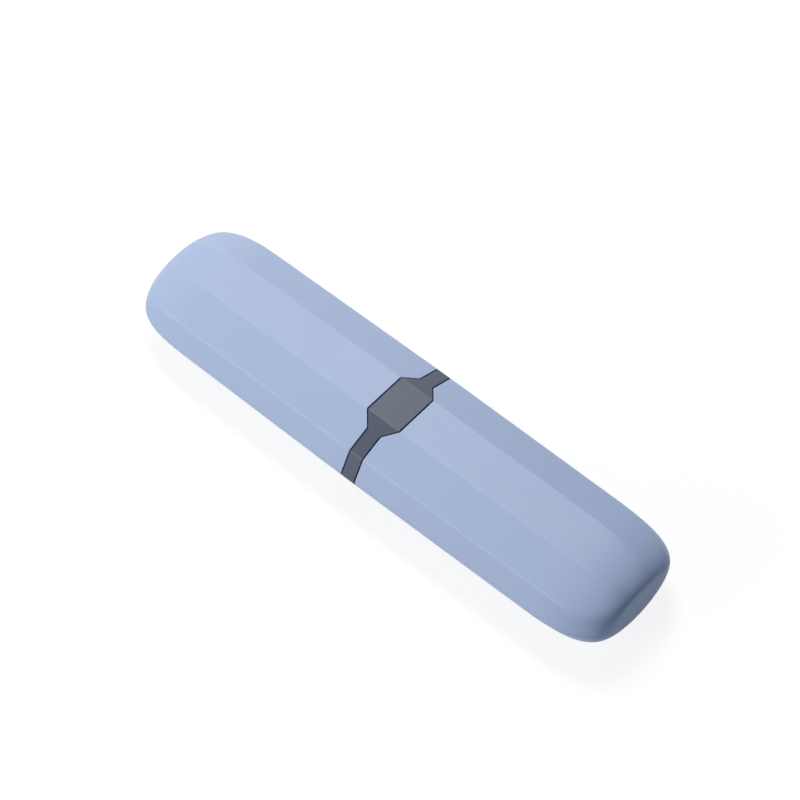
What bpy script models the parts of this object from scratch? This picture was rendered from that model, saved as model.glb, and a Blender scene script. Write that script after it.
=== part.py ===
"""Travel toothbrush case: two faceted half shells, the grey collar between them and its seal ring.

Metres, +Z up. The closed case lies on its back facet with the origin under its middle. +X runs
along the case, from the cap's end to the base's end, and +Y runs across it."""

import math

import bmesh
import bpy
from mathutils import Vector

MM = 0.001

# Outer form of the closed case
CASE_LENGTH = 210.0 * MM
CORNER_WIDTH = 55.5 * MM        # across the two side corners, before they are rounded
CASE_DEPTH = 30.1 * MM          # from the front facet to the back facet
FACETS = 10
CREASE_RADIUS = 1.2 * MM        # on the eight long creases
SIDE_RADIUS = 6.0 * MM          # on the two side corners
SIDE_CORNERS = (FACETS // 4, 3 * FACETS // 4)
DRAFT_ANGLE = math.radians(0.40)

# Rounded ends: in plan and in side view each one is a superellipse that stops at a flat foot
END_ROUNDING = 30.0 * MM
PLAN_POWER = 3.1
SIDE_POWER = 2.7
FOOT_WIDTH = 16.0 * MM
FOOT_DEPTH = 12.0 * MM
FADE_START = 0.78               # share of the rounding where the creases begin to fade
FADE_END = 1.00

# Walls of the two shells
SHELL_WALL = 2.1 * MM
FOOT_WALL = 2.6 * MM
LIP_WALL = 1.5 * MM             # thinner where the neck slides in
STEP_SLOPE = 0.8 * MM

# Grey band seen from outside: an arm round each side and a hexagon on the front and on the back
ARM_WIDTH = 5.3 * MM
HEXAGON_LENGTH = 14.0 * MM      # along the case
FLARE_WIDTH = 26.8 * MM         # across the case, where the flares run out into the arms
BAND_CREASE_RADIUS = 0.5 * MM   # crisper than on the shells
SEAM_GAP = 0.45 * MM            # open seam between the band and each shell

# Neck of the collar, inside both shells
NECK_WALL = 1.8 * MM
NECK_CLEARANCE = 0.35 * MM
CAP_NECK_REACH = 15.5 * MM      # from the middle of the case to the rim inside the cap
BASE_NECK_REACH = 13.5 * MM
RIM_CHAMFER = 0.6 * MM
RIM_GAP = 0.5 * MM              # from a rim to the step in the shell's wall

# Snap beads on the neck, one on the front and one on the back at each end
BEAD_LENGTH = 11.0 * MM
BEAD_RADIUS = 0.9 * MM
CAP_BEAD_HEIGHT = 0.20 * MM     # low, so that the cap pulls off
BASE_BEAD_HEIGHT = 0.60 * MM    # tall, so that the collar stays in the base
BEAD_CLEARANCE = 0.30 * MM
BEAD_SETBACK = 2.5 * MM         # from the edge of the hexagon to the crest of a bead

# Seal ring round the neck, in the cap
SEAL_WIDTH = 1.5 * MM
SEAL_THICKNESS = 1.0 * MM
SEAL_GAP = 0.20 * MM            # between the ring and each wall of its groove
SEAL_STAND = 0.18 * MM          # how far the ring stands out of the neck
SEAL_SETBACK = 1.2 * MM         # from the rim's chamfer to the groove

# Fineness of the meshes
CREASE_STEPS = 3
SIDE_STEPS = 6
FACET_STEPS = 3
DOME_STEPS = 14
SEAL_STEPS = 8
BEAD_SEGMENTS = 24
BEAD_RINGS = 12
LEAST_RADIUS = 0.25 * MM
WELD_DISTANCE = 0.01 * MM

# Worked out from the sizes above
AXIS_HEIGHT = CASE_DEPTH / 2
HALF_LENGTH = CASE_LENGTH / 2
FACET_TURN = 2 * math.pi / FACETS
CORNER_HALF_WIDTH = CORNER_WIDTH / 2
CORNER_HALF_DEPTH = CASE_DEPTH / 2 / math.cos(FACET_TURN / 2)
HEXAGON_WIDTH = 2 * CORNER_HALF_WIDTH * math.sin(FACET_TURN / 2)
STRAIGHT_HALF = HEXAGON_LENGTH / 2 + SEAM_GAP
NECK_OUTSIDE = LIP_WALL + NECK_CLEARANCE
NECK_INSIDE = NECK_OUTSIDE + NECK_WALL
GROOVE_START = CAP_NECK_REACH - RIM_CHAMFER - SEAL_SETBACK
GROOVE_END = GROOVE_START - SEAL_WIDTH - 2 * SEAL_GAP
GROOVE_DEPTH = SEAL_THICKNESS - SEAL_STAND + SEAL_GAP
BEAD_X = HEXAGON_LENGTH / 2 + BEAD_SETBACK


def section(inset, crease_radius=CREASE_RADIUS):
    """One turn round the case's section, as (y, z) pairs, with every side moved in by inset."""
    corners = []
    for k in range(FACETS):
        angle = (k + 0.5) * FACET_TURN
        corners.append(Vector((CORNER_HALF_WIDTH * math.sin(angle), CORNER_HALF_DEPTH * math.cos(angle))))
    directions = [(corners[(k + 1) % FACETS] - corners[k]).normalized() for k in range(FACETS)]
    normals = [Vector((-d.y, d.x)) for d in directions]
    offsets = [normals[k].dot(corners[k]) - inset for k in range(FACETS)]

    arcs = []
    for k in range(FACETS):
        before = normals[k - 1]
        after = normals[k]
        cross = before.x * after.y - before.y * after.x
        corner = Vector((
            (offsets[k - 1] * after.y - offsets[k] * before.y) / cross,
            (offsets[k] * before.x - offsets[k - 1] * after.x) / cross,
        ))
        on_side = k in SIDE_CORNERS
        radius = max((SIDE_RADIUS if on_side else crease_radius) - inset, LEAST_RADIUS)
        steps = SIDE_STEPS if on_side else CREASE_STEPS
        turn = before.angle(after)
        centre = corner - (before + after).normalized() * (radius / math.cos(turn / 2))
        heading = math.atan2(before.x, before.y)
        angles = [heading + turn * i / steps for i in range(steps + 1)]
        arcs.append([centre + radius * Vector((math.sin(a), math.cos(a))) for a in angles])

    points = []
    for k in range(FACETS):
        points.extend(arcs[k])
        start = arcs[k][-1]
        end = arcs[(k + 1) % FACETS][0]
        points.extend(start.lerp(end, i / FACET_STEPS) for i in range(1, FACET_STEPS))
    return points


def falloff(distance, reach, power):
    """A superellipse's height, 1 at the start of a rounding and 0 at its end, distance before that end."""
    share = min(max(1 - distance / reach, 0), 1)
    return (1 - share ** power) ** (1 / power)


def smoothstep(value, low, high):
    share = min(max((value - low) / (high - low), 0), 1)
    return share * share * (3 - 2 * share)


def ring(x, inset, foot_wall=0.0, crease_radius=CREASE_RADIUS):
    """The section at x. Towards an end it narrows by the draft, rounds off and fades to an ellipse."""
    points = section(inset, crease_radius)
    half_width = max(p.x for p in points)
    half_depth = max(p.y for p in points)
    beyond = max(abs(x) - STRAIGHT_HALF, 0)
    drafted = 1 - beyond * math.tan(DRAFT_ANGLE) / CORNER_HALF_WIDTH
    left = HALF_LENGTH - foot_wall - abs(x)
    reach = END_ROUNDING - foot_wall
    plan = falloff(left, reach, PLAN_POWER)
    side = falloff(left, reach, SIDE_POWER)
    wide = FOOT_WIDTH / 2 + (half_width * drafted - FOOT_WIDTH / 2) * plan
    deep = FOOT_DEPTH / 2 + (half_depth * drafted - FOOT_DEPTH / 2) * side
    fade = smoothstep(1 - left / reach, FADE_START, FADE_END)

    placed = []
    for p in points:
        faceted = Vector((p.x / half_width, p.y / half_depth))
        blended = faceted.lerp(faceted.normalized(), fade)
        placed.append(Vector((x, blended.x * wide, blended.y * deep)))
    return placed


def dome_stations(foot_wall):
    """Distances from the middle, from the start of the rounding to the foot, closest near the foot."""
    reach = END_ROUNDING - foot_wall
    stations = []
    for i in range(DOME_STEPS + 1):
        angle = math.pi / 2 * i / DOME_STEPS
        size = (math.sin(angle) ** PLAN_POWER + math.cos(angle) ** PLAN_POWER) ** (1 / PLAN_POWER)
        stations.append(HALF_LENGTH - END_ROUNDING + reach * math.sin(angle) / size)
    return stations


def skin(rings, capped_after=None):
    """A closed mesh through a loop of rings. After the ring capped_after, the loop is cut and capped."""
    shape = bmesh.new()
    rows = [[shape.verts.new(p) for p in points] for points in rings]
    for k, row in enumerate(rows):
        following = rows[(k + 1) % len(rows)]
        if k == capped_after:
            shape.faces.new(row)
            shape.faces.new(following)
            continue
        for i in range(len(row)):
            j = (i + 1) % len(row)
            shape.faces.new((row[i], row[j], following[j], following[i]))
    bmesh.ops.recalc_face_normals(shape, faces=shape.faces)
    return shape


def add_object(name, shape, collection, parent):
    mesh = bpy.data.meshes.new(name)
    shape.to_mesh(mesh)
    shape.free()
    made = bpy.data.objects.new(name, mesh)
    collection.objects.link(made)
    made.parent = parent
    return made


def add_cutter(name, shape, collection, parent):
    cutter = add_object(name, shape, collection, parent)
    cutter.hide_render = True
    cutter.display_type = "WIRE"
    return cutter


def combine(target, tool, operation):
    modifier = target.modifiers.new(f"{operation.lower()} {tool.name}", "BOOLEAN")
    modifier.operation = operation
    modifier.solver = "EXACT"
    modifier.object = tool


def band_prism(name, growth, collection, parent):
    """The band's outline in plan, grown by growth along the case and run through its whole depth."""
    arm = ARM_WIDTH / 2 + growth
    hexagon = HEXAGON_LENGTH / 2 + growth
    corner = HEXAGON_WIDTH / 2
    flare = FLARE_WIDTH / 2
    past = CORNER_WIDTH         # clear of both sides of the case
    right = [(arm, -past), (arm, -flare), (hexagon, -corner), (hexagon, corner), (arm, flare), (arm, past)]
    outline = right + [(-x, y) for x, y in reversed(right)]

    curve = bpy.data.curves.new(name, "CURVE")
    curve.dimensions = "2D"
    curve.fill_mode = "BOTH"
    curve.extrude = CASE_DEPTH
    spline = curve.splines.new("POLY")
    spline.points.add(len(outline) - 1)
    for point, (x, y) in zip(spline.points, outline):
        point.co = (x, y, 0, 1)
    spline.use_cyclic_u = True
    drawn = bpy.data.objects.new(name, curve)
    collection.objects.link(drawn)
    bpy.context.view_layer.update()

    graph = bpy.context.evaluated_depsgraph_get()
    mesh = bpy.data.meshes.new_from_object(drawn.evaluated_get(graph))
    shape = bmesh.new()
    shape.from_mesh(mesh)
    bmesh.ops.remove_doubles(shape, verts=shape.verts, dist=WELD_DISTANCE)
    bmesh.ops.recalc_face_normals(shape, faces=shape.faces)
    bpy.data.objects.remove(drawn)
    bpy.data.meshes.remove(mesh)
    return add_cutter(name, shape, collection, parent)


def bead_shape(x, height, growth):
    """A pair of long low domes, on the front and back of the neck at x, standing height out of it."""
    neck_half_depth = max(p.z for p in ring(x, NECK_OUTSIDE))
    shape = bmesh.new()
    for facing in (1, -1):
        made = bmesh.ops.create_uvsphere(shape, u_segments=BEAD_SEGMENTS, v_segments=BEAD_RINGS, radius=1)
        bmesh.ops.scale(
            shape,
            vec=(BEAD_RADIUS + growth, BEAD_LENGTH / 2 + growth, BEAD_RADIUS + growth),
            verts=made["verts"],
        )
        centre = facing * (neck_half_depth + height - BEAD_RADIUS)
        bmesh.ops.translate(shape, vec=(x, 0, centre), verts=made["verts"])
    return shape


def make_material(name, colour, roughness):
    material = bpy.data.materials.new(name)
    material.use_nodes = True
    shader = material.node_tree.nodes["Principled BSDF"]
    shader.inputs["Base Color"].default_value = (*colour, 1)
    shader.inputs["Roughness"].default_value = roughness
    shader.inputs["Metallic"].default_value = 0
    material.diffuse_color = (*colour, 1)
    return material


def make_shell(name, side, neck_reach, bead_height, parts, cutters, parent):
    """One half of the case: side is 1 for the half towards +X and -1 for the half towards -X."""
    step = neck_reach + RIM_GAP
    outside = [(x, 0, 0) for x in [0, STRAIGHT_HALF] + dome_stations(0)]
    inside = [(x, SHELL_WALL, FOOT_WALL) for x in reversed(dome_stations(FOOT_WALL))]
    inside.append((step + STEP_SLOPE, SHELL_WALL, 0))
    inside.extend((x, LIP_WALL, 0) for x in (step, STRAIGHT_HALF, 0))
    rings = [ring(side * x, inset, foot_wall) for x, inset, foot_wall in outside + inside]
    shell = add_object(name, skin(rings, len(outside) - 1), parts, parent)

    opening = band_prism(f"{name}_mouth_cutter", SEAM_GAP, cutters, parent)
    combine(shell, opening, "DIFFERENCE")
    pockets = bead_shape(side * BEAD_X, bead_height, BEAD_CLEARANCE)
    pocket_cutter = add_cutter(f"{name}_pocket_cutter", pockets, cutters, parent)
    combine(shell, pocket_cutter, "DIFFERENCE")
    return shell


def make_collar(parts, cutters, parent):
    """The band and its neck in one moulding, with the seal's groove and the snap beads."""
    sleeve = [
        (-CAP_NECK_REACH, NECK_OUTSIDE + RIM_CHAMFER),
        (-CAP_NECK_REACH + RIM_CHAMFER, NECK_OUTSIDE),
        (-GROOVE_START, NECK_OUTSIDE),
        (-GROOVE_START, NECK_OUTSIDE + GROOVE_DEPTH),
        (-GROOVE_END, NECK_OUTSIDE + GROOVE_DEPTH),
        (-GROOVE_END, NECK_OUTSIDE),
        (-STRAIGHT_HALF, NECK_OUTSIDE),
        (STRAIGHT_HALF, NECK_OUTSIDE),
        (BASE_NECK_REACH - RIM_CHAMFER, NECK_OUTSIDE),
        (BASE_NECK_REACH, NECK_OUTSIDE + RIM_CHAMFER),
        (BASE_NECK_REACH, NECK_INSIDE),
        (STRAIGHT_HALF, NECK_INSIDE),
        (-STRAIGHT_HALF, NECK_INSIDE),
        (-CAP_NECK_REACH, NECK_INSIDE),
    ]
    collar = add_object("collar", skin([ring(x, inset) for x, inset in sleeve]), parts, parent)

    rooted = NECK_OUTSIDE + NECK_WALL / 2
    blank = [(-STRAIGHT_HALF, 0), (STRAIGHT_HALF, 0), (STRAIGHT_HALF, rooted), (-STRAIGHT_HALF, rooted)]
    rings = [ring(x, inset, crease_radius=BAND_CREASE_RADIUS) for x, inset in blank]
    band = add_cutter("band_blank", skin(rings), cutters, parent)
    combine(band, band_prism("band_outline", 0, cutters, parent), "INTERSECT")
    combine(collar, band, "UNION")
    for name, x, height in (
        ("cap_beads", -BEAD_X, CAP_BEAD_HEIGHT),
        ("base_beads", BEAD_X, BASE_BEAD_HEIGHT),
    ):
        beads = add_cutter(name, bead_shape(x, height, 0), cutters, parent)
        combine(collar, beads, "UNION")
    return collar


def make_seal(parts, parent):
    """A soft ring round the neck, its section an ellipse, seated in the groove."""
    middle_x = -(GROOVE_START + GROOVE_END) / 2
    middle_inset = NECK_OUTSIDE - SEAL_STAND + SEAL_THICKNESS / 2
    rings = []
    for i in range(SEAL_STEPS):
        angle = 2 * math.pi * i / SEAL_STEPS
        rings.append(ring(
            middle_x + SEAL_WIDTH / 2 * math.cos(angle),
            middle_inset + SEAL_THICKNESS / 2 * math.sin(angle),
        ))
    return add_object("seal_ring", skin(rings), parts, parent)


def add_collection(name):
    made = bpy.data.collections.new(name)
    bpy.context.scene.collection.children.link(made)
    return made


def add_empty(name, parts, location, parent=None):
    empty = bpy.data.objects.new(name, None)
    empty.location = location
    empty.parent = parent
    parts.objects.link(empty)
    return empty


def main():
    for leftover in list(bpy.data.objects):
        bpy.data.objects.remove(leftover)
    parts = add_collection("toothbrush_case")
    cutters = add_collection("cutters")
    cutters.hide_render = True

    case_axis = add_empty("case_axis", parts, (0, 0, AXIS_HEIGHT))
    cap_slide = add_empty("cap_slide", parts, (0, 0, 0), case_axis)

    blue = make_material("blue_shell_plastic", (0.40, 0.486, 0.67), 0.50)
    grey = make_material("grey_band_plastic", (0.08, 0.097, 0.134), 0.50)
    rubber = make_material("seal_silicone", (0.30, 0.31, 0.33), 0.62)

    base = make_shell("base_shell", 1, BASE_NECK_REACH, BASE_BEAD_HEIGHT, parts, cutters, case_axis)
    cap = make_shell("cap_shell", -1, CAP_NECK_REACH, CAP_BEAD_HEIGHT, parts, cutters, cap_slide)
    collar = make_collar(parts, cutters, case_axis)
    seal = make_seal(parts, case_axis)
    for piece, material in ((base, blue), (cap, blue), (collar, grey), (seal, rubber)):
        piece.data.materials.append(material)


main()
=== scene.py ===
import math
from collections import namedtuple

import bmesh
import bpy
from mathutils import Matrix, Vector


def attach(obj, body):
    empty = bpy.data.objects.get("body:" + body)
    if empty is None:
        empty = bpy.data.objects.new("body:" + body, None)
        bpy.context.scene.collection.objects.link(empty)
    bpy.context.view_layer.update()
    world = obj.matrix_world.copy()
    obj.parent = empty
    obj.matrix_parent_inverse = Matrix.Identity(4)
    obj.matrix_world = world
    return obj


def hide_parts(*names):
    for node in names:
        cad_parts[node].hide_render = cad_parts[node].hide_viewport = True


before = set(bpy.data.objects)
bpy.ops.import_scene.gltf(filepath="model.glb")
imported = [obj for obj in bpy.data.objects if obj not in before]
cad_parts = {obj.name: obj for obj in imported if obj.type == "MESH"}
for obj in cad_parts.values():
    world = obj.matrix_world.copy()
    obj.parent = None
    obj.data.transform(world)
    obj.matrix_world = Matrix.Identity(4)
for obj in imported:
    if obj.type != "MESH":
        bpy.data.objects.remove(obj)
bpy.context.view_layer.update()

# Travel toothbrush case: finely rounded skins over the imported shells, collar and seal, moulded
# plastic materials, a white floor and soft light, and the photograph's camera. Metres, +Z up.

MM = 0.001

# The case's form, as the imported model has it
CASE_LENGTH = 210.0 * MM
CORNER_WIDTH = 55.5 * MM
CASE_DEPTH = 30.1 * MM
FACETS = 10
CREASE_RADIUS = 1.2 * MM
SIDE_RADIUS = 6.0 * MM
LEAST_RADIUS = 0.25 * MM
DRAFT_ANGLE = math.radians(0.40)
END_ROUNDING = 30.0 * MM
PLAN_POWER = 3.1
SIDE_POWER = 2.7
FOOT_WIDTH = 16.0 * MM
FOOT_DEPTH = 12.0 * MM
FADE_START = 0.78
FADE_END = 1.00
SHELL_WALL = 2.1 * MM
FOOT_WALL = 2.6 * MM
LIP_WALL = 1.5 * MM
STEP_SLOPE = 0.8 * MM
ARM_WIDTH = 5.3 * MM
HEXAGON_LENGTH = 14.0 * MM
FLARE_WIDTH = 26.8 * MM
BAND_CREASE_RADIUS = 0.5 * MM
SEAM_GAP = 0.45 * MM
NECK_WALL = 1.8 * MM
NECK_CLEARANCE = 0.35 * MM
CAP_NECK_REACH = 15.5 * MM
BASE_NECK_REACH = 13.5 * MM
RIM_CHAMFER = 0.6 * MM
RIM_GAP = 0.5 * MM
BEAD_LENGTH = 11.0 * MM
BEAD_RADIUS = 0.9 * MM
CAP_BEAD_HEIGHT = 0.20 * MM
BASE_BEAD_HEIGHT = 0.60 * MM
BEAD_CLEARANCE = 0.30 * MM
BEAD_SETBACK = 2.5 * MM
SEAL_WIDTH = 1.5 * MM
SEAL_THICKNESS = 1.0 * MM
SEAL_GAP = 0.20 * MM
SEAL_STAND = 0.18 * MM
SEAL_SETBACK = 1.2 * MM

AXIS_HEIGHT = CASE_DEPTH / 2
HALF_LENGTH = CASE_LENGTH / 2
FACET_TURN = 2 * math.pi / FACETS
CORNER_HALF_WIDTH = CORNER_WIDTH / 2
CORNER_HALF_DEPTH = CASE_DEPTH / 2 / math.cos(FACET_TURN / 2)
HEXAGON_WIDTH = 2 * CORNER_HALF_WIDTH * math.sin(FACET_TURN / 2)
STRAIGHT_HALF = HEXAGON_LENGTH / 2 + SEAM_GAP
NECK_OUTSIDE = LIP_WALL + NECK_CLEARANCE
NECK_INSIDE = NECK_OUTSIDE + NECK_WALL
GROOVE_START = CAP_NECK_REACH - RIM_CHAMFER - SEAL_SETBACK
GROOVE_END = GROOVE_START - SEAL_WIDTH - 2 * SEAL_GAP
GROOVE_DEPTH = SEAL_THICKNESS - SEAL_STAND + SEAL_GAP
BEAD_X = HEXAGON_LENGTH / 2 + BEAD_SETBACK

# Facet k runs from corner k to the next. Corner 0 is the front facet's corner towards +Y, and the
# count goes on from there over the +Y side corner to the back. The wide facets are the front and the
# back one, and the flared facets beside them hold the flares of the band.
WIDE_FACETS = (4, 9)
FLARED_FACETS = (0, 3, 5, 8)
SIDE_CORNERS = (2, 7)

# Roundings that only these finer skins have. Creases soften over the given shares of an end's rounding.
CRISP_SIDE_RADIUS = 3.0 * MM
SOFT_CREASE_REACH = 3.0 * MM
SOFTEN_START = 0.20
SOFTEN_END = 0.80
LIP_ROUND = 0.20 * MM
BAND_ROUND = 0.20 * MM
INNER_LIP_ROUND = 0.35 * MM
GROOVE_ROUND = 0.10 * MM
MOUTH_BLEND = 1.0 * MM

# Fineness of the skins
CREASE_STEPS = 8
SIDE_STEPS = 16
WIDE_FACET_STEPS = 16
HEXAGON_FLARE_STEPS = 4
FLARE_SIDE_STEPS = 5
NARROW_FACET_STEPS = 6
DOME_STEPS = 40
ROUND_STEPS = 5
SEAL_STEPS = 20
BEAD_STEPS = 10
BODY_STEPS = 6
THROAT_STEPS = 4
FIT_STEPS = 20
FACE_AREA_WEIGHT = 100

# The creases of a surface, and how strong the painted highlight on them and on the side corners is.
# Painted light above 0 is a brighter painted highlight, and below 0 it is darker painted shade.
Edges = namedtuple("Edges", "crease_radius crease_wear side_wear")
# Painted highlight lines along the creases, and painted light on the side corners that lifts their shade.
SHELL_EDGES = Edges(CREASE_RADIUS, 0.30, 0.26)
BAND_EDGES = Edges(BAND_CREASE_RADIUS, 1.0, 0.05)
# Painted highlight on the shells' lips, and painted shade in the gaps: on the collar's neck and on the
# shells' rims.
LIP_PAINTED_HIGHLIGHT = 1.0
SEAM_PAINTED_SHADE = -1.0
RIM_PAINTED_SHADE = -0.3
RIM_SHADE_POWER = 4
SEAM_SHADE_WIDTH = 0.25 * MM

# Plastic surfaces. Scales count the patches of noise in a metre.
TONE_SCALE = 22.0
TONE_SPREAD = 0.015
PATCH_SCALE = 90.0
GLOSS_SPREAD = 0.04
GRAIN_STRENGTH = 0.35
MIX_FACTOR, MIX_A, MIX_B, MIX_RESULT = 0, 6, 7, 2

# Camera, fitted to the photograph's outline, creases and band
CAMERA_AZIMUTH = math.radians(41.535)
CAMERA_ELEVATION = math.radians(55.301)
CAMERA_FROM_MIDDLE = Vector((0.39077, -0.44133, 0.86898))
CAMERA_FIELD = math.radians(14.8526)

# Floor. Its shadow shows out to SHADOW_REACH and has faded to white at twice that.
FLOOR_SIZE = 8.0
FLOOR_DROP = 0.2 * MM
SHADOW_REACH = 0.3
FLOOR_PAINT = (0.47, 0.52, 0.565, 1)
SHADOWED_GREY = (0.19, 0.19, 0.19, 1)
SHADOWED_LIFT = 0.87
WHITE = (1, 1, 1, 1)

# Soft light: name, azimuth and elevation in degrees, size in metres and power in watts
LAMP_DISTANCE = 0.9
LAMPS = (
    ("key", 140, 64, 0.3, 5.0),
    ("front", 250, 12, 0.6, 5.5),
    ("front_fill", 250, 38, 0.5, 0.9),
    ("left", 135, 12, 0.6, 2.33),
)
WORLD_COLOUR = (0.28, 0.48, 1.0, 1)
WORLD_STRENGTH = 0.11


def lerp(a, b, share):
    return a + (b - a) * share


def smoothstep(value, low, high):
    share = min(max((value - low) / (high - low), 0), 1)
    return share * share * (3 - 2 * share)


def quarter_turn():
    """The angles of the rings that round off an edge."""
    return [math.pi / 2 * i / ROUND_STEPS for i in range(ROUND_STEPS + 1)]


def corner_place(k, half_width):
    """Where corner k of the section lies before it is rounded, across and up from the case's middle."""
    angle = (k + 0.5) * FACET_TURN
    return half_width * math.sin(angle), CORNER_HALF_DEPTH * math.cos(angle)


def side_reach(half_width, radius):
    """How far out a side corner at half_width still reaches once it is rounded."""
    across, up = corner_place(SIDE_CORNERS[0] - 1, CORNER_HALF_WIDTH)
    half_turn = math.atan2(half_width - across, up)
    return half_width - radius * (1 / math.cos(half_turn) - 1)


def crisp_half_width():
    """Where the side corners lie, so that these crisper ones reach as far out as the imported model's."""
    reach = side_reach(CORNER_HALF_WIDTH, SIDE_RADIUS)
    half_width = CORNER_HALF_WIDTH
    for _ in range(FIT_STEPS):
        half_width += reach - side_reach(half_width, CRISP_SIDE_RADIUS)
    return half_width


CRISP_HALF_WIDTH = crisp_half_width()


def rounded_corners(inset, crease_radius, softened):
    """The section's corners with every side moved in by inset, each an arc of (point, highlight mask)
    pairs.
    """
    corners = []
    for k in range(FACETS):
        half_width = CRISP_HALF_WIDTH if k in SIDE_CORNERS else CORNER_HALF_WIDTH
        corners.append(Vector(corner_place(k, half_width)))
    directions = [(corners[(k + 1) % FACETS] - corners[k]).normalized() for k in range(FACETS)]
    normals = [Vector((-d.y, d.x)) for d in directions]
    offsets = [normals[k].dot(corners[k]) - inset for k in range(FACETS)]

    arcs = []
    for k in range(FACETS):
        before = normals[k - 1]
        after = normals[k]
        cross = before.x * after.y - before.y * after.x
        corner = Vector((
            (offsets[k - 1] * after.y - offsets[k] * before.y) / cross,
            (offsets[k] * before.x - offsets[k - 1] * after.x) / cross,
        ))
        turn = before.angle(after)
        on_side = k in SIDE_CORNERS
        if on_side:
            radius = CRISP_SIDE_RADIUS
        else:
            radius = lerp(crease_radius, SOFT_CREASE_REACH / math.tan(turn / 2), softened)
        radius = max(radius - inset, LEAST_RADIUS)
        centre = corner - (before + after).normalized() * (radius / math.cos(turn / 2))
        heading = math.atan2(before.x, before.y)
        steps = SIDE_STEPS if on_side else CREASE_STEPS
        arc = []
        for i in range(steps + 1):
            angle = heading + turn * i / steps
            ridge = max(math.sin(math.pi * i / steps), 0)
            highlight_mask = (0.0, math.sqrt(ridge)) if on_side else (ridge, 0.0)
            arc.append((centre + radius * Vector((math.sin(angle), math.cos(angle))), highlight_mask))
        arcs.append(arc)
    return arcs


def facet_shares(k, start, end):
    """Where the points inside facet k lie, as shares of the way from its start to its end."""
    if k in WIDE_FACETS:
        return [i / WIDE_FACET_STEPS for i in range(1, WIDE_FACET_STEPS)]
    if k not in FLARED_FACETS:
        return [i / NARROW_FACET_STEPS for i in range(1, NARROW_FACET_STEPS)]
    flare = math.copysign(FLARE_WIDTH / 2, start.x)
    knee = (flare - start.x) / (end.x - start.x)
    first, second = HEXAGON_FLARE_STEPS, FLARE_SIDE_STEPS
    if abs(start.x) > abs(end.x):
        first, second = second, first
    shares = [knee * i / first for i in range(1, first + 1)]
    return shares + [lerp(knee, 1, i / second) for i in range(1, second)]


sections = {}


def section(inset, crease_radius=CREASE_RADIUS, softened=0.0):
    """One turn round the section as (point, highlight mask) pairs, with its half width and half depth. The
    highlight mask is a pair too: how near the point is to a crease's ridge, and how near to a side
    corner's, which is where a highlight is painted."""
    key = (round(inset, 9), crease_radius, softened)
    if key not in sections:
        arcs = rounded_corners(inset, crease_radius, softened)
        points = []
        for k in range(FACETS):
            points.extend(arcs[k])
            start = arcs[k][-1][0]
            end = arcs[(k + 1) % FACETS][0][0]
            points.extend((start.lerp(end, share), (0.0, 0.0)) for share in facet_shares(k, start, end))
        half_width = max(p.x for p, _ in points)
        half_depth = max(p.y for p, _ in points)
        sections[key] = (points, half_width, half_depth)
    return sections[key]


COLUMNS = len(section(0)[0])


def falloff(distance, reach, power):
    """A superellipse's height, 1 at the start of a rounding and 0 at its end, distance before that end."""
    share = min(max(1 - distance / reach, 0), 1)
    return (1 - share ** power) ** (1 / power)


def place(x, column, inset, foot_wall=0.0, edges=SHELL_EDGES):
    """A point of the skin at x and in that column, inset from the case's outside. Returns (point, painted
    light), the painted highlight on its crease or side corner.
    """
    left = HALF_LENGTH - foot_wall - abs(x)
    reach = END_ROUNDING - foot_wall
    softened = smoothstep(1 - left / reach, SOFTEN_START, SOFTEN_END)
    points, half_width, half_depth = section(inset, edges.crease_radius, softened)
    p, (on_crease, on_side) = points[column]
    beyond = max(abs(x) - STRAIGHT_HALF, 0)
    drafted = 1 - beyond * math.tan(DRAFT_ANGLE) / CORNER_HALF_WIDTH
    wide = lerp(FOOT_WIDTH / 2, half_width * drafted, falloff(left, reach, PLAN_POWER))
    deep = lerp(FOOT_DEPTH / 2, half_depth * drafted, falloff(left, reach, SIDE_POWER))
    fade = smoothstep(1 - left / reach, FADE_START, FADE_END)
    faceted = Vector((p.x / half_width, p.y / half_depth))
    blended = faceted.lerp(faceted.normalized(), fade)
    # Painted highlight along the creases and painted light on the side corners.
    wear = on_crease * edges.crease_wear + on_side * edges.side_wear
    return Vector((x, blended.x * wide, AXIS_HEIGHT + blended.y * deep)), wear * (1 - softened)


def straight_ring(x, inset, foot_wall=0.0):
    """A ring square to the case at x."""
    return [place(x, c, inset, foot_wall) for c in range(COLUMNS)]


def band_half_length(y):
    """Half the band's length along the case, at y across it."""
    y = abs(y)
    corner = HEXAGON_WIDTH / 2
    flare = FLARE_WIDTH / 2
    if y <= corner:
        return HEXAGON_LENGTH / 2
    if y >= flare:
        return ARM_WIDTH / 2
    return lerp(HEXAGON_LENGTH / 2, ARM_WIDTH / 2, (y - corner) / (flare - corner))


def outline_ring(side, growth, inset, wear=None, edges=SHELL_EDGES):
    """A ring that follows the band's outline, growth outside it. side is 1 towards +X and -1 towards -X."""
    made = []
    for c in range(COLUMNS):
        y = section(inset, edges.crease_radius)[0][c][0].x
        point, edge_light = place(side * (band_half_length(y) + growth), c, inset, 0.0, edges)
        made.append((point, edge_light if wear is None else wear))
    return made


def between(first, second, share):
    """A ring on the way from the first ring to the second."""
    return [(a.lerp(b, share), lerp(c, d, share)) for (a, c), (b, d) in zip(first, second)]


def dome_stations(foot_wall):
    """Where the rings of an end's rounding lie along the case, closer together towards the foot."""
    reach = END_ROUNDING - foot_wall
    stations = []
    for i in range(DOME_STEPS + 1):
        angle = math.pi / 2 * i / DOME_STEPS
        size = (math.sin(angle) ** PLAN_POWER + math.cos(angle) ** PLAN_POWER) ** (1 / PLAN_POWER)
        stations.append(HALF_LENGTH - END_ROUNDING + reach * math.sin(angle) / size)
    return stations


def bead_stations(growth):
    """Where the rings over a snap bead lie, or over a pocket that is growth larger."""
    reach = BEAD_RADIUS + growth
    return [BEAD_X + reach * (2 * i / BEAD_STEPS - 1) for i in range(BEAD_STEPS + 1)]


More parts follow.
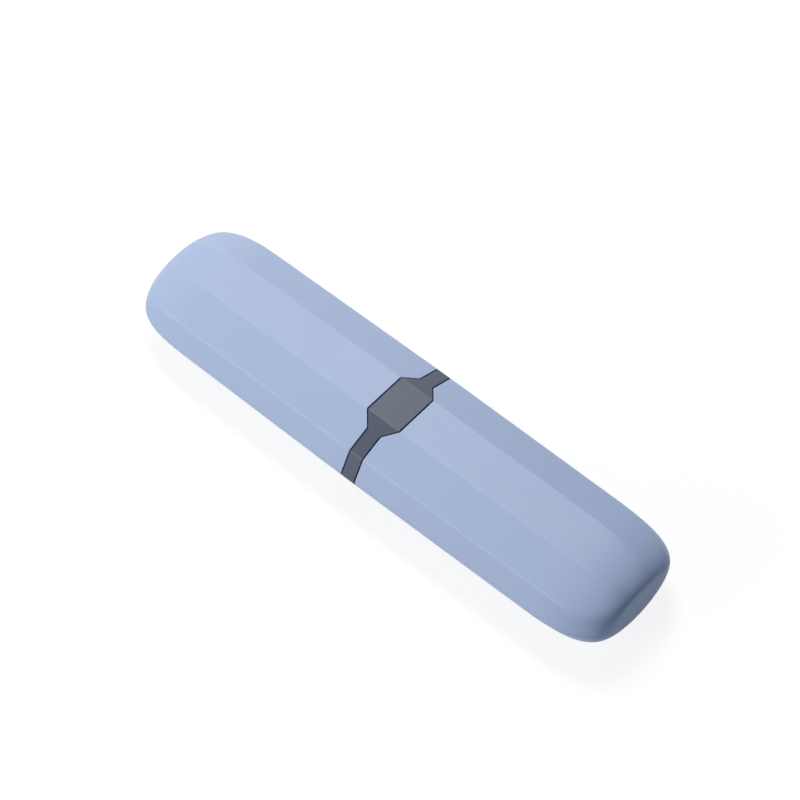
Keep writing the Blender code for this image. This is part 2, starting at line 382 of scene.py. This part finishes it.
def bead_rise(x, y, height, growth):
    """How far a snap bead, or a pocket that is growth larger, stands out of the neck at x and y."""
    radius = BEAD_RADIUS + growth
    along = (abs(x) - BEAD_X) / radius
    across = y / (BEAD_LENGTH / 2 + growth)
    dome = 1 - along * along - across * across
    if dome <= 0:
        return 0.0
    return max(height - BEAD_RADIUS + radius * math.sqrt(dome), 0.0)


def with_beads(ring, x, height, growth, surface):
    """The ring with its front and back pushed out by the beads, where they stand above the surface."""
    made = []
    for point, wear in ring:
        rise = bead_rise(x, point.y, height, growth) - surface
        on_face = abs(point.y) < HEXAGON_WIDTH / 2
        if rise > 0 and on_face:
            point = point + Vector((0, 0, math.copysign(rise, point.z - AXIS_HEIGHT)))
        made.append((point, wear))
    return made


def skin_mesh(name, rings, capped_after):
    """A closed mesh through a loop of rings. Two caps stand in for the strip after ring capped_after."""
    shape = bmesh.new()
    layer = shape.verts.layers.float.new("wear")
    rows = []
    for ring in rings:
        row = []
        for point, wear in ring:
            vertex = shape.verts.new(point)
            vertex[layer] = wear
            row.append(vertex)
        rows.append(row)
    for k, row in enumerate(rows):
        following = rows[(k + 1) % len(rows)]
        if k == capped_after:
            shape.faces.new(row)
            shape.faces.new(following)
            continue
        for i in range(len(row)):
            j = (i + 1) % len(row)
            shape.faces.new((row[i], row[j], following[j], following[i]))
    bmesh.ops.recalc_face_normals(shape, faces=shape.faces)
    mesh = bpy.data.meshes.new(name)
    shape.to_mesh(mesh)
    shape.free()
    mesh.shade_smooth()
    return mesh


def add_piece(node, rings, body, material, capped_after=None):
    """A skin through a loop of rings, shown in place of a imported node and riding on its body."""
    name = node + "_skin"
    mesh = skin_mesh(name, rings, capped_after)
    mesh.materials.append(material)
    piece = bpy.data.objects.new(name, mesh)
    bpy.context.scene.collection.objects.link(piece)
    weighted = piece.modifiers.new("flat facets", "WEIGHTED_NORMAL")
    weighted.keep_sharp = True
    weighted.weight = FACE_AREA_WEIGHT
    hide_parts(node)
    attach(piece, body)


def make_shell(node, side, body, neck_reach, bead_height, material):
    """A half shell: lip, outside up to the foot, then back through the cavity to the inner lip."""
    rings = []
    for angle in reversed(quarter_turn()):
        growth = SEAM_GAP + LIP_ROUND * (1 - math.sin(angle))
        inset = LIP_ROUND * (1 - math.cos(angle))
        # Painted highlight on the lip's rounding, going over to painted shade on the rim inside the gap.
        wear = lerp(LIP_PAINTED_HIGHLIGHT * math.sin(2 * angle), RIM_PAINTED_SHADE, math.sin(angle) ** RIM_SHADE_POWER)
        rings.append(outline_ring(side, growth, inset, wear))
    body_start = STRAIGHT_HALF + LIP_ROUND + MOUTH_BLEND
    body_ring = straight_ring(side * body_start, 0)
    rings.append(between(rings[-1], body_ring, 0.5))
    rings.append(body_ring)
    stations = dome_stations(0)
    for i in range(1, BODY_STEPS):
        rings.append(straight_ring(side * lerp(body_start, stations[0], i / BODY_STEPS), 0))
    rings.extend(straight_ring(side * x, 0) for x in stations)
    foot = len(rings) - 1

    rings.extend(straight_ring(side * x, SHELL_WALL, FOOT_WALL) for x in reversed(dome_stations(FOOT_WALL)))
    step = neck_reach + RIM_GAP
    rings.append(straight_ring(side * (step + STEP_SLOPE), SHELL_WALL))
    rings.append(straight_ring(side * step, LIP_WALL))
    for x in reversed(bead_stations(BEAD_CLEARANCE)):
        ring = straight_ring(side * x, LIP_WALL)
        rings.append(with_beads(ring, x, bead_height, BEAD_CLEARANCE, NECK_CLEARANCE))
    for angle in quarter_turn():
        growth = SEAM_GAP + INNER_LIP_ROUND * (1 - math.sin(angle))
        inset = LIP_WALL - INNER_LIP_ROUND * (1 - math.cos(angle))
        # Painted shade on the inner lip's rim, inside the gap.
        rings.append(outline_ring(side, growth, inset, RIM_PAINTED_SHADE * math.sin(angle)))
    add_piece(node, rings, body, material, foot)


def seal_groove():
    """The rings of the seal's groove, which lies in the neck towards the cap."""
    shallow = NECK_OUTSIDE + GROOVE_ROUND
    deep = NECK_OUTSIDE + GROOVE_DEPTH
    return [
        straight_ring(-GROOVE_END, NECK_OUTSIDE),
        straight_ring(-GROOVE_END - GROOVE_ROUND, shallow),
        straight_ring(-GROOVE_END - GROOVE_ROUND, deep),
        straight_ring(-GROOVE_START + GROOVE_ROUND, deep),
        straight_ring(-GROOVE_START + GROOVE_ROUND, shallow),
        straight_ring(-GROOVE_START, NECK_OUTSIDE),
    ]


def half_collar(side, reach, bead_height, groove):
    """The rings of one half of the collar, from the band's edge over the neck to the rim and into it."""
    half = []
    for angle in quarter_turn():
        growth = -BAND_ROUND * (1 - math.sin(angle))
        inset = BAND_ROUND * (1 - math.cos(angle))
        half.append(outline_ring(side, growth, inset, None, BAND_EDGES))
    # Painted shade on the collar's neck at the foot of the band, in the gap under the shells' rims.
    half.append(outline_ring(side, 0, NECK_OUTSIDE, SEAM_PAINTED_SHADE))
    half.append(outline_ring(side, SEAM_GAP, NECK_OUTSIDE, SEAM_PAINTED_SHADE))
    half.append(outline_ring(side, SEAM_GAP + SEAM_SHADE_WIDTH, NECK_OUTSIDE, 0))
    for x in bead_stations(0):
        half.append(with_beads(straight_ring(side * x, NECK_OUTSIDE), x, bead_height, 0, 0))
    half.extend(groove)
    for angle in quarter_turn():
        x = reach - RIM_CHAMFER * (1 - math.sin(angle))
        half.append(straight_ring(side * x, NECK_OUTSIDE + RIM_CHAMFER * (1 - math.cos(angle))))
    for angle in reversed(quarter_turn()):
        x = reach - INNER_LIP_ROUND * (1 - math.sin(angle))
        half.append(straight_ring(side * x, NECK_INSIDE - INNER_LIP_ROUND * (1 - math.cos(angle))))
    return half


def make_collar(material):
    """The band and the neck that both shells slide over."""
    left = half_collar(-1, CAP_NECK_REACH, CAP_BEAD_HEIGHT, seal_groove())
    left.reverse()
    right = half_collar(1, BASE_NECK_REACH, BASE_BEAD_HEIGHT, [])
    band = [between(left[-1], right[0], i / THROAT_STEPS) for i in range(1, THROAT_STEPS)]
    throat = [straight_ring(x, NECK_INSIDE) for x in (STRAIGHT_HALF, -STRAIGHT_HALF)]
    add_piece("collar", left + band + right + throat, "base", material)


def make_seal(material):
    """The soft ring in its groove, oval in section."""
    middle_x = -(GROOVE_START + GROOVE_END) / 2
    middle_inset = NECK_OUTSIDE - SEAL_STAND + SEAL_THICKNESS / 2
    rings = []
    for i in range(SEAL_STEPS):
        angle = 2 * math.pi * i / SEAL_STEPS
        x = middle_x + SEAL_WIDTH / 2 * math.cos(angle)
        rings.append(straight_ring(x, middle_inset + SEAL_THICKNESS / 2 * math.sin(angle)))
    add_piece("seal_ring", rings, "base", material)


def add_node(tree, kind, **inputs):
    """A new node with some of its inputs set. An underscore in an input's name stands for a space."""
    node = tree.nodes.new(kind)
    for name, value in inputs.items():
        node.inputs[name.replace("_", " ")].default_value = value
    return node


def add_noise(tree, where, scale, detail, roughness):
    noise = add_node(tree, "ShaderNodeTexNoise", Scale=scale, Detail=detail, Roughness=roughness)
    tree.links.new(where, noise.inputs["Vector"])
    return noise.outputs["Fac"]


def add_math(tree, operation, first, second):
    node = tree.nodes.new("ShaderNodeMath")
    node.operation = operation
    tree.links.new(first, node.inputs[0])
    tree.links.new(second, node.inputs[1])
    return node.outputs[0]


def add_colour_mix(tree, factor, start, colour):
    """From start, an output, to a plain colour as the factor rises from 0 to 1."""
    mix = tree.nodes.new("ShaderNodeMix")
    mix.data_type = "RGBA"
    tree.links.new(factor, mix.inputs[MIX_FACTOR])
    tree.links.new(start, mix.inputs[MIX_A])
    mix.inputs[MIX_B].default_value = (*colour, 1)
    return mix.outputs[MIX_RESULT]


def moulded_plastic(name, colour, highlight_colour, shade_colour, roughness, ior, grain_size, grain_depth):
    """Matte moulded plastic with a fine spark-eroded grain, a slow change of tone and gloss, a patchy
    painted highlight along its edges and painted shade in its seams."""
    material = bpy.data.materials.new(name)
    material.use_nodes = True
    tree = material.node_tree
    shader = tree.nodes["Principled BSDF"]
    link = tree.links.new
    where = tree.nodes.new("ShaderNodeTexCoord").outputs["Object"]

    tone = tree.nodes.new("ShaderNodeMix")
    tone.data_type = "RGBA"
    tone.inputs[MIX_A].default_value = (*[c * (1 - TONE_SPREAD) for c in colour], 1)
    tone.inputs[MIX_B].default_value = (*[c * (1 + TONE_SPREAD) for c in colour], 1)
    link(add_noise(tree, where, TONE_SCALE, 3.0, 0.5), tone.inputs[MIX_FACTOR])

    # The mesh's painted light: above 0 it mixes in noisy patches towards the painted highlight colour,
    # below 0 towards the painted shade colour.
    painted_light_attribute = tree.nodes.new("ShaderNodeAttribute")
    painted_light_attribute.attribute_name = "wear"
    wear = painted_light_attribute.outputs["Fac"]
    patches = add_noise(tree, where, PATCH_SCALE, 2.0, 0.6)
    highlight_mask = add_math(tree, "MULTIPLY", wear, patches)
    highlighted = add_colour_mix(tree, highlight_mask, tone.outputs[MIX_RESULT], highlight_colour)
    shade_mask = tree.nodes.new("ShaderNodeMath")
    shade_mask.operation = "MULTIPLY"
    shade_mask.inputs[1].default_value = -1.0
    link(wear, shade_mask.inputs[0])
    link(add_colour_mix(tree, shade_mask.outputs[0], highlighted, shade_colour), shader.inputs["Base Color"])

    gloss = tree.nodes.new("ShaderNodeMapRange")
    gloss.inputs["To Min"].default_value = roughness - GLOSS_SPREAD
    gloss.inputs["To Max"].default_value = roughness + GLOSS_SPREAD
    link(patches, gloss.inputs["Value"])
    link(gloss.outputs["Result"], shader.inputs["Roughness"])

    bump = add_node(tree, "ShaderNodeBump", Strength=GRAIN_STRENGTH, Distance=grain_depth)
    link(add_noise(tree, where, 1 / grain_size, 2.0, 0.55), bump.inputs["Height"])
    link(bump.outputs["Normal"], shader.inputs["Normal"])
    shader.inputs["IOR"].default_value = ior
    return material


def make_camera():
    data = bpy.data.cameras.new("camera")
    data.angle = CAMERA_FIELD
    camera = bpy.data.objects.new("camera", data)
    right = Vector((math.cos(CAMERA_AZIMUTH), math.sin(CAMERA_AZIMUTH), 0))
    back = Vector((
        math.sin(CAMERA_AZIMUTH) * math.cos(CAMERA_ELEVATION),
        -math.cos(CAMERA_AZIMUTH) * math.cos(CAMERA_ELEVATION),
        math.sin(CAMERA_ELEVATION),
    ))
    up = back.cross(right)
    turned = Matrix((right, up, back)).transposed().to_4x4()
    camera.matrix_world = Matrix.Translation(CAMERA_FROM_MIDDLE + Vector((0, 0, AXIS_HEIGHT))) @ turned
    bpy.context.scene.collection.objects.link(camera)
    bpy.context.scene.camera = camera


def backdrop_rays(tree):
    """1 for the rays that show a backdrop: straight from the camera, mirrored or through glass."""
    path = tree.nodes.new("ShaderNodeLightPath")
    seen = add_math(tree, "MAXIMUM", path.outputs["Is Camera Ray"], path.outputs["Is Glossy Ray"])
    return add_math(tree, "MAXIMUM", seen, path.outputs["Is Transmission Ray"])


def add_shader_mix(tree, factor, first, second):
    """From the first shader to the second as the factor rises from 0 to 1."""
    mix = tree.nodes.new("ShaderNodeMixShader")
    tree.links.new(factor, mix.inputs[0])
    tree.links.new(first.outputs[0], mix.inputs[1])
    tree.links.new(second.outputs[0], mix.inputs[2])
    return mix


def make_floor():
    """A wide pale floor. It shows as white, with the case's shadow on it and nothing but white far off."""
    bpy.ops.mesh.primitive_plane_add(size=FLOOR_SIZE, location=(0, 0, -FLOOR_DROP))
    floor = bpy.context.object
    floor.name = "floor"
    material = bpy.data.materials.new("floor_white")
    material.use_nodes = True
    tree = material.node_tree
    tree.nodes.clear()
    link = tree.links.new

    shadowed = add_node(tree, "ShaderNodeBsdfDiffuse", Color=SHADOWED_GREY)
    lift = add_node(tree, "ShaderNodeEmission", Color=WHITE, Strength=SHADOWED_LIFT)
    near = tree.nodes.new("ShaderNodeAddShader")
    link(shadowed.outputs[0], near.inputs[0])
    link(lift.outputs[0], near.inputs[1])

    where = tree.nodes.new("ShaderNodeTexCoord")
    away = tree.nodes.new("ShaderNodeVectorMath")
    away.operation = "LENGTH"
    far = tree.nodes.new("ShaderNodeMapRange")
    far.interpolation_type = "SMOOTHSTEP"
    far.inputs["From Min"].default_value = SHADOW_REACH
    far.inputs["From Max"].default_value = 2 * SHADOW_REACH
    link(where.outputs["Object"], away.inputs[0])
    link(away.outputs["Value"], far.inputs["Value"])
    white = add_node(tree, "ShaderNodeEmission", Color=WHITE, Strength=1.0)
    shown = add_shader_mix(tree, far.outputs["Result"], near, white)

    paint = add_node(tree, "ShaderNodeBsdfDiffuse", Color=FLOOR_PAINT)
    surface = add_shader_mix(tree, backdrop_rays(tree), paint, shown)
    link(surface.outputs[0], tree.nodes.new("ShaderNodeOutputMaterial").inputs["Surface"])
    floor.data.materials.append(material)


def make_world():
    """Dim bluish light from all round, behind a backdrop that shows as white."""
    world = bpy.data.worlds.new("studio")
    bpy.context.scene.world = world
    world.use_nodes = True
    tree = world.node_tree
    dim = tree.nodes["Background"]
    dim.inputs["Color"].default_value = WORLD_COLOUR
    dim.inputs["Strength"].default_value = WORLD_STRENGTH
    white = add_node(tree, "ShaderNodeBackground", Color=WHITE, Strength=1.0)
    surface = add_shader_mix(tree, backdrop_rays(tree), dim, white)
    tree.links.new(surface.outputs[0], tree.nodes["World Output"].inputs["Surface"])


def add_lamp(name, azimuth, elevation, size, power):
    """A square soft lamp at arm's length that shines on the middle of the case."""
    data = bpy.data.lights.new(name, "AREA")
    data.shape = "SQUARE"
    data.size = size
    data.energy = power
    lamp = bpy.data.objects.new(name, data)
    turned = math.radians(azimuth)
    raised = math.radians(elevation)
    towards = Vector((
        math.cos(raised) * math.cos(turned),
        math.cos(raised) * math.sin(turned),
        math.sin(raised),
    ))
    lamp.location = Vector((0, 0, AXIS_HEIGHT)) + towards * LAMP_DISTANCE
    lamp.rotation_euler = towards.to_track_quat("Z", "Y").to_euler()
    bpy.context.scene.collection.objects.link(lamp)


make_camera()
make_floor()
make_world()
for lamp_settings in LAMPS:
    add_lamp(*lamp_settings)

# Each plastic's own colour, the colour of its painted highlights and the colour of its painted shade.
blue = moulded_plastic(
    "shell_blue", colour=(0.402, 0.490, 0.665), highlight_colour=(0.62, 0.70, 0.85), shade_colour=(0.05, 0.07, 0.12),
    roughness=0.50, ior=1.43, grain_size=0.30 * MM, grain_depth=0.06 * MM,
)
grey = moulded_plastic(
    "band_grey", colour=(0.0635, 0.0805, 0.1145), highlight_colour=(0.30, 0.33, 0.38), shade_colour=(0.012, 0.016, 0.030),
    roughness=0.50, ior=1.43, grain_size=0.30 * MM, grain_depth=0.06 * MM,
)
silicone = moulded_plastic(
    "seal_silicone", colour=(0.30, 0.31, 0.33), highlight_colour=(0.36, 0.37, 0.39), shade_colour=(0.10, 0.10, 0.11),
    roughness=0.62, ior=1.41, grain_size=0.25 * MM, grain_depth=0.01 * MM,
)
make_shell("base_shell", 1, "base", BASE_NECK_REACH, BASE_BEAD_HEIGHT, blue)
make_shell("cap_shell", -1, "cap", CAP_NECK_REACH, CAP_BEAD_HEIGHT, blue)
make_collar(grey)
make_seal(silicone)

bpy.context.scene.view_settings.view_transform = "Standard"
